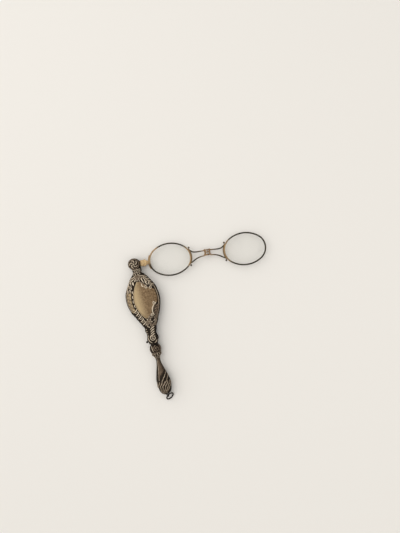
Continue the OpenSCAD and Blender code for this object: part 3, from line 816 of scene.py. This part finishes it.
def grip_shell(side, material):
    """Front or back half of the tail with its ornament."""
    stations = shell_stations(grip_start, tail_end)
    s, a = np.meshgrid(stations, np.linspace(180, 0, 117), indexing="ij")
    w = curve(grip_outline, s)
    relief = chase_grip()
    x = np.radians(90 - a) * w
    height = relief.sample(relief.h, s, x)
    bare = smooth((s - 86) / 3) * smooth((103 - 0.9 * np.clip(x, -5, 5) - s) / 3)
    # Painted shade and reflection on the smooth taper: darker along its left edge and towards its right side. It
    # goes into the same field as the worn crests and the oxide in the hollows.
    shade = 0.42 - 0.34 * smooth((-x - 0.32 * w) / (0.5 * w)) - 0.2 * smooth((x - 0.55 * w) / (0.6 * w))
    wear = 0.86 * np.maximum(relief.sample(relief.wear(), s, x) - 0.1 * bare, shade * bare)
    seam = smooth(np.minimum(a, 180 - a) / 4)
    ring_room = 0.18 * smooth((s - 111) / 3) + 0.1 * smooth(s - 118.4)
    lift = (height * relief_scale - grip_ground * (1 - bare)) * seam - ring_room
    outer = tail_points(s, a, lift, 0.2)
    s_in = s[::coarse, ::coarse].copy()
    s_in[-1] = tail_end
    inner = tail_points(s_in, a[::coarse, ::coarse], -sheet, 0.1)
    zeros = np.zeros_like(s)
    shell_piece("grip", side, outer, inner, {"high": wear, "plain": zeros, "tone": zeros}, material)


# Lens frame

# Half axes of the rim's middle line, radius of its end arcs, width and thickness of its wire
rim_a, rim_b, rim_end_r = 18.65, 14.35, 12.4
rim_w, rim_t = 1.3, 1.5
rim_out = rim_end_r + rim_w / 2
frame_low, frame_high = frame_z - rim_t / 2, frame_z + rim_t / 2
# Middles of the end arcs and of the side arcs, and the direction in which they meet
end_shift = rim_a - rim_end_r
side_r = (rim_a ** 2 + rim_b ** 2 - 2 * rim_a * rim_end_r) / (2 * (rim_b - rim_end_r))
side_shift = side_r - rim_b
join_angle = math.atan2(side_shift, end_shift)
lens_inset, lens_half, lens_dome = 0.27, 0.3, 0.28
saddle_thick = 0.8


def oval(inset, steps=240):
    """Points of the four-arc oval and its outward directions, anticlockwise."""
    points, normals = [], []
    for a in turns(steps):
        n = np.array([math.cos(a), math.sin(a)])
        on_end = abs(math.atan2(abs(n[1]), abs(n[0]))) < join_angle
        centre = (math.copysign(end_shift, n[0]), 0) if on_end else (0, -math.copysign(side_shift, n[1]))
        radius = (rim_end_r if on_end else side_r) - inset
        points.append(np.array(centre) + radius * n)
        normals.append(n)
    return np.array(points), np.array(normals)


def rim_profile():
    """Cross-section of the rim: (outward, up), round outside with a groove for the glass inside."""
    half_w, half_t = rim_w / 2, rim_t / 2
    ease = 0.12
    outside = [(ease + (half_w - 0.125) * math.cos(a), half_t * math.sin(a))
               for a in np.linspace(-math.pi / 2, math.pi / 2, 11)]
    upper = [(ease - half_w, half_t), (-half_w, half_t - ease), (-half_w, 0.45), (-0.22, 0.38)]
    return outside + upper + [(q, -z) for q, z in reversed(upper)]


def rim(half, at_u, gilt_arcs, material):
    """Rim of the near or the far half, gilt round some angles: (middle, reach)."""
    centre, normal = oval(0)
    profile = np.array(rim_profile())
    rings = np.zeros((len(centre), len(profile), 3))
    rings[:, :, :2] = centre[:, None, :] + profile[None, :, 0, None] * normal[:, None, :]
    rings[:, :, 2] = profile[None, :, 1]
    part = on_arm(moved(closed_tube(rings), at=(at_u, 0, frame_z)))
    obj = mesh_piece(f"rim_{half}", part, f"{half}_frame", material, [f"{half}_rim"], sharp=50)
    place = np.degrees(np.arctan2(centre[:, 1], centre[:, 0])) % 360
    gilded = sum(smooth(1.6 - np.abs(place - middle) / reach) for middle, reach in gilt_arcs)
    set_field(obj, "gilded", np.repeat(np.minimum(gilded, 1)[:, None], len(profile), axis=1))


def lens(half, at_u, material):
    """Lens with a gently domed front, on rings that shrink towards the middle."""
    edge, _ = oval(lens_inset)
    shares = np.linspace(0.97, 0.03, 18)
    levels = [(f, -lens_half) for f in shares[::-1]] + [(1, -lens_half), (1, lens_half)]
    levels += [(f, lens_half + lens_dome * (1 - f * f)) for f in shares]
    rings = np.array([np.column_stack([edge * f, np.full(len(edge), z)]) for f, z in levels])
    part = on_arm(moved(loft(rings), at=(at_u, 0, frame_z)))
    mesh_piece(f"lens_{half}", part, f"{half}_frame", material, [f"{half}_lens"], sharp=40)


def on_rim(out, a, z=0):
    """Point at a distance out from the middle of the rim's end arc."""
    return (*polar(end_shift, 0, out, a), z)


def saddle(reach, half_h):
    """Strip bent round the rim's end, with round edges, towards +x of the rim's middle."""
    turn = np.radians(np.linspace(-reach, reach, 49))
    half = saddle_thick / 2
    section = [(half + half * math.cos(a), half_h * math.sin(a)) for a in turns(20)]
    inner = rim_out - 0.05
    return loft(np.array([[on_rim(inner + q, a, z) for q, z in section] for a in turn]), flip=True)


def ball(at, radius, steps=20):
    arc = np.linspace(-math.pi / 2, math.pi / 2, 13)
    return moved(lathe([(radius * math.cos(a), radius * math.sin(a)) for a in arc], steps), at=at)


def at_fold(part, half, z):
    """A part of the bridge's right half, moved to the fold and mirrored for the near half."""
    return on_arm(moved(part, at=(fold_u, 0, z), flip_x=half == "near"))


def strap(half, material):
    """The bridge's strap round the rim, with a ball standing off at each end."""
    ball_r, ball_angle, ball_off = 0.84, 34.5, 1.2
    stem_r, stem_angle, stem_off = 0.4, 30, 0.35
    strip_gilt, ball_gilt = 0.62, 0.34
    parts = [saddle(reach=31, half_h=0.62)]
    for k in (-1, 1):
        head = on_rim(rim_out + ball_off, math.radians(ball_angle * k))
        foot = on_rim(rim_out + stem_off, math.radians(stem_angle * k))
        parts.append(ball(head, ball_r))
        parts.append(tube_mesh([foot, head], stem_r, 12))
    part = at_fold(moved(join(parts), 180, (fold_u - lens_u, 0, 0)), half, frame_z)
    obj = mesh_piece(f"strap_{half}", part, f"{half}_frame", material, [f"{half}_strap"],
                     sharp=60)
    strip = np.arange(len(part[0])) < len(parts[0][0])
    set_field(obj, "gilded", np.where(strip, strip_gilt, ball_gilt))


bridge_top = [(15.3, 5.5), (14.2, 4.55), (13.2, 3.8), (11.4, 3.35), (9, 3.2), (6, 3.3), (2.9, 3.35)]
bridge_low = [(15.3, -5.7), (13.9, -4.95), (12.2, -3.9), (10.4, -2.9), (8.6, -2.2), (6, -1.5), (2.9, -1.15)]


def bridge_half(half, material):
    """The two bowed wires of one half, gilt towards the hinge."""
    parts = []
    for way in (bridge_top, bridge_low):
        line = spline([(x, y, 0) for x, y in way], 6)
        swell = 0.5 + 0.08 * np.sin(np.linspace(0, math.pi, len(line)))
        parts.append(tube_mesh(line, swell))
    wires = join(parts)
    part = at_fold(wires, half, frame_z)
    obj = mesh_piece(f"bridge_wires_{half}", part, f"{half}_frame", material, [f"{half}_bridge"])
    set_field(obj, "gilded", 0.22 + 0.4 * smooth(1.6 - wires[0][:, 0] / 6))


def knuckle(low, high):
    """Hollow barrel along y with eased edges."""
    radius, bore, ease = 1.1, 0.46, 0.1
    profile = [(bore, low), (radius - ease, low), (radius, low + ease), (radius, high - ease),
               (radius - ease, high), (bore, high)]
    return closed_tube(turned(profile, 40)[:, :, [1, 2, 0]], flip=False)


def hinge(half, knuckles, material):
    """Block and barrels of one half of the folding bridge."""
    block = [(1.25, -1.2), (3.1, -1.2), (3.35, -0.4), (2.85, 0.5), (2.85, 2.5), (3.35, 3.4),
             (3.1, 4.2), (1.25, 4.2)]
    corners = spline(block + [block[0]], 5)[:-1]
    parts = [rounded_plate(corners, frame_low, frame_high, 0.22)]
    gap = 0.05
    for low, high in knuckles:
        parts.append(knuckle(low, high))
        web = [(0, low + gap), (1.4, low + gap), (1.4, high - gap), (0, high - gap)]
        parts.append(rounded_plate(web, -1.09, -0.2, 0.05))
    part = at_fold(join(parts), half, 0)
    mesh_piece(f"hinge_block_{half}", part, f"{half}_frame", material, [f"{half}_hinge"], sharp=35)


def tang_plate():
    """Plate whose half-width follows its lobes, with round edges."""
    lobes = [(7.2, 0, 2.9), (10.4, 0, 2.3), (9.4, 2.5, 0.85), (9.4, -2.5, 0.85), (3.5, 0, 2.0)]
    u = np.linspace(2.2, 12.7, 160)
    half = np.full_like(u, 1.2)
    for cu, cv, r in lobes:
        inside = np.abs(u - cu) < r
        reach = abs(cv) + np.sqrt(np.clip(r * r - (u - cu) ** 2, 0, None))
        half = np.maximum(half, np.where(inside, reach, 0))
    half = np.convolve(np.pad(half, 2, mode="edge"), np.ones(5) / 5, mode="valid")
    ease = 0.35
    corner = [(ease * math.sin(a), ease * (1 - math.cos(a))) for a in np.linspace(0, math.pi / 2, 5)]
    sections = []
    for a, h in zip(u, half):
        side = [(h - ease + dv, frame_low + dz) for dv, dz in corner]
        side += [(v, frame_low + frame_high - z) for v, z in reversed(side)]
        sections.append([(a, v, z) for v, z in side + [(-v, z) for v, z in reversed(side)]])
    return loft(np.array(sections))


def tang(material):
    """Lobed plate between the pivot's barrel and the rim, with two studs on it and its saddle."""
    top = frame_high
    button = [(0, top - 0.1), (2.15, top - 0.1), (2.15, top + 0.15), (1.95, top + 0.38),
              (0.7, top + 0.42), (0, top + 0.36)]
    stud = [(0, top - 0.1), (1.5, top - 0.1), (1.45, top + 0.1), (0.9, top + 0.24), (0, top + 0.28)]
    barrel = [(1.24, -1.9), (3.85, -1.9), (4, -1.75), (4, 1.75), (3.85, 1.9), (1.24, 1.9)]
    parts = [tang_plate(),
             moved(lathe(button), at=(7.2, 0, 0)),
             moved(lathe(stud, 40), at=(10.5, 0, 0)),
             moved(saddle(reach=28, half_h=0.66), 180, (lens_u, 0, frame_z)),
             closed_tube(turned(barrel, 64), flip=False)]
    mesh_piece("lobed_tang", on_arm(join(parts)), "near_frame", material, ["tang"], sharp=35)


# Handle, ring and catch

loop_at = (0.7, -121.4, 0.7)
loop_turn = math.radians(38.5)
loop_r, loop_wire = 1.15, 0.4
ring_r, ring_wire, ring_tilt = 3.4, 0.598, math.radians(51)
catch_y = -70.75


def torus(name, centre, plane, radius, wire, material, body, stands_for, extra=()):
    """Ring of round wire in the plane of two directions."""
    e1, e2 = (np.array(v, float) / np.linalg.norm(v) for v in plane)
    e3 = np.cross(e1, e2)
    rings = []
    for a in turns(96):
        out = math.cos(a) * e1 + math.sin(a) * e2
        rings.append([np.array(centre) + (radius + wire * math.cos(b)) * out + wire * math.sin(b) * e3
                      for b in turns(20)])
    part = join([closed_tube(np.array(rings)), *extra])
    mesh_piece(name, part, body, material, stands_for)


def build_handle(silver, dark):
    for side in ("front", "back"):
        case_shell(side, silver)
        grip_shell(side, silver)
    across = (-math.sin(loop_turn), math.cos(loop_turn), 0)
    post = tube_mesh([(-0.15, -118.8, 0), (-0.15, -120.6, 0)], 0.55)
    torus("tail_loop", loop_at, (across, (0, 0, 1)), loop_r, loop_wire, dark, "handle", ["end_loop"], [post])


def build_ring(dark):
    along = (math.cos(loop_turn), math.sin(loop_turn), 0)
    away = np.array([along[1] * math.cos(ring_tilt), -along[0] * math.cos(ring_tilt), -math.sin(ring_tilt)])
    centre = np.array(loop_at) + ring_r * away
    torus("chain_ring", centre, (away, along), ring_r, ring_wire, dark, "ring", ["suspension_ring"])


def build_catch(dark):
    """The catch's ball on its stem."""
    middle = (-5.8, catch_y, 0)
    stem = tube_mesh([middle, (-4.7, catch_y, 0)], 0.45)
    part = join([ball(middle, 0.95, 28), stem])
    mesh_piece("catch_ball", part, "catch", dark, ["catch_knob"])


def build_catch_coil(steel):
    """Coil under the catch, with a mesh of its own; nothing here shortens it as the catch is drawn down."""
    coil_r, wire_r, length, top, travel = 0.55, 0.13, 5.4, -71.55, 0.8
    turn = np.linspace(0, 12 * math.pi, 145)
    rings = []
    for a in turn:
        section = [(coil_r + wire_r * math.cos(b), wire_r * math.sin(b)) for b in turns(12)]
        y = top - length * a / turn[-1]
        rings.append([(q * math.cos(a), y + dy, q * math.sin(a)) for q, dy in section])
    coil = mesh_piece("catch_coil", loft(np.array(rings)), "handle", steel, ["catch_spring"])
    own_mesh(coil)


def build_frame_halves(rim_material, gilt, hinge_gilt, glass):
    tang(gilt)
    near = ("near", lens_u, ((158, 26), (2, 28), (362, 28)), [(-1.3, 0.2), (3.3, 4.3)])
    far = ("far", far_u, ((180, 30),), [(1.2, 2.4)])
    for half, at_u, gilt_arcs, knuckles in (near, far):
        rim(half, at_u, gilt_arcs, rim_material)
        lens(half, at_u, glass)
        strap(half, rim_material)
        bridge_half(half, rim_material)
        hinge(half, knuckles, hinge_gilt)


def finish_cad_nodes(dark, gilt, steel, blued):
    """Carried-over nodes keep their shape and get their metal."""
    metals = {"dark_silver": dark, "gilt": gilt, "steel": steel}
    slots = {p["node"]: p["material_slot"] for p in frame["record"]["subparts"]}
    for name, obj in frame["nodes"].items():
        if obj.hide_render or slots.get(name) not in metals:
            continue
        obj.data.materials.clear()
        obj.data.materials.append(blued if name == "spring_anchor" else metals[slots[name]])


# Table, light and camera, in metres

photo_centre = np.array([56.8, -16.3]) * MM
photo_turn = math.radians(-14.1)
camera_height = 0.365
long_side_view = math.radians(67.3)


def build_table():
    """A plain pale table that fills every view."""
    half = 4.0
    corners = [(-half, -half, 0), (half, -half, 0), (half, half, 0), (-half, half, 0)]
    mesh = bpy.data.meshes.new("table")
    mesh.from_pydata(corners, [], [(0, 1, 2, 3)])
    table = bpy.data.objects.new("table", mesh)
    bpy.context.scene.collection.objects.link(table)
    material, _, shader = new_material("pale_table")
    feed(shader, {"Base Color": (0.80, 0.775, 0.738, 1), "Roughness": 0.6, "Specular IOR Level": 0.2})
    table.data.materials.append(material)


def area_light(name, at, size, power, colour):
    """Square lamp that looks at the object."""
    data = bpy.data.lights.new(name, "AREA")
    data.shape = "SQUARE"
    data.size = size
    data.energy = power
    data.color = colour
    lamp = bpy.data.objects.new(name, data)
    lamp.location = at
    lamp.rotation_mode = "QUATERNION"
    lamp.rotation_quaternion = (-at).to_track_quat("-Z", "Y")
    bpy.context.scene.collection.objects.link(lamp)


def build_world():
    """Soft daylight that is stronger from the upper left, in front of a plain pale backdrop."""
    world = bpy.data.worlds.new("studio")
    bpy.context.scene.world = world
    world.use_nodes = True
    tree = world.node_tree
    place = node(tree, "ShaderNodeTexCoord", {}).outputs["Generated"]
    along = node(tree, "ShaderNodeVectorMath", {0: place, 1: (-0.8, 0.45, 0.3)}, operation="DOT_PRODUCT")
    side = remap(along.outputs["Value"], -0.5, 0.6)
    light = tree.nodes["Background"]
    sky = blend(side, (0.22, 0.215, 0.205), (1.0, 0.985, 0.955))
    feed(light, {"Color": sky, "Strength": 1.13})
    seen = node(tree, "ShaderNodeBackground", {"Color": (0.82, 0.82, 0.79, 1)})
    is_seen = node(tree, "ShaderNodeLightPath", {}).outputs["Is Camera Ray"]
    inputs = {"Fac": is_seen, 1: light.outputs[0], 2: seen.outputs[0]}
    feed(tree.nodes["World Output"], {"Surface": node(tree, "ShaderNodeMixShader", inputs).outputs[0]})


def build_camera():
    data = bpy.data.cameras.new("overhead")
    data.sensor_width = 36
    data.lens = 18 / math.tan(long_side_view / 2)
    data.clip_start = 0.01
    camera = bpy.data.objects.new("overhead", data)
    camera.location = (pivot[0] + photo_centre[0], pivot[1] + photo_centre[1], camera_height)
    camera.rotation_euler = (0, 0, photo_turn)
    bpy.context.scene.collection.objects.link(camera)
    bpy.context.scene.camera = camera


def build_lights():
    """A window at the photo's upper left and a weaker fill from the right."""
    right = Vector((math.cos(photo_turn), math.sin(photo_turn), 0))
    up = Vector((-math.sin(photo_turn), math.cos(photo_turn), 0))
    window = -0.55 * right + 0.35 * up + Vector((0, 0, 0.75))
    area_light("window", window, size=1.3, power=3.7, colour=(1, 0.985, 0.96))
    fill = 0.7 * right - 0.2 * up + Vector((0, 0, 0.9))
    area_light("fill", fill, size=0.9, power=2.0, colour=(1, 0.99, 0.97))


build_camera()
build_table()
build_world()
build_lights()
bpy.context.scene.view_settings.view_transform = "Standard"

silver_material = chased_silver()
dark_material = aged_metal("dark_silver", (0.010, 0.008, 0.006), (0.045, 0.033, 0.023), 500, 0.46, 0.85)
gilt_material = aged_metal("gilt", (0.30, 0.19, 0.105), (0.50, 0.36, 0.19), 420, 0.4)
steel_material = aged_metal("steel", (0.34, 0.33, 0.32), (0.56, 0.55, 0.54), 600, 0.34)
# A darker copy of the gilt, for the hinge blocks.
dark_gilt_material = aged_metal("dark_gilt", (0.15, 0.09, 0.052), (0.38, 0.26, 0.15), 520, 0.42)
blued_material = aged_metal("blued_steel", (0.010, 0.010, 0.012), (0.03, 0.028, 0.03), 500, 0.4)
build_handle(silver_material, dark_material)
build_ring(dark_material)
build_catch(dark_material)
build_catch_coil(steel_material)
build_frame_halves(rim_metal(), gilt_material, dark_gilt_material, lens_glass())
finish_cad_nodes(dark_material, gilt_material, steel_material, blued_material)
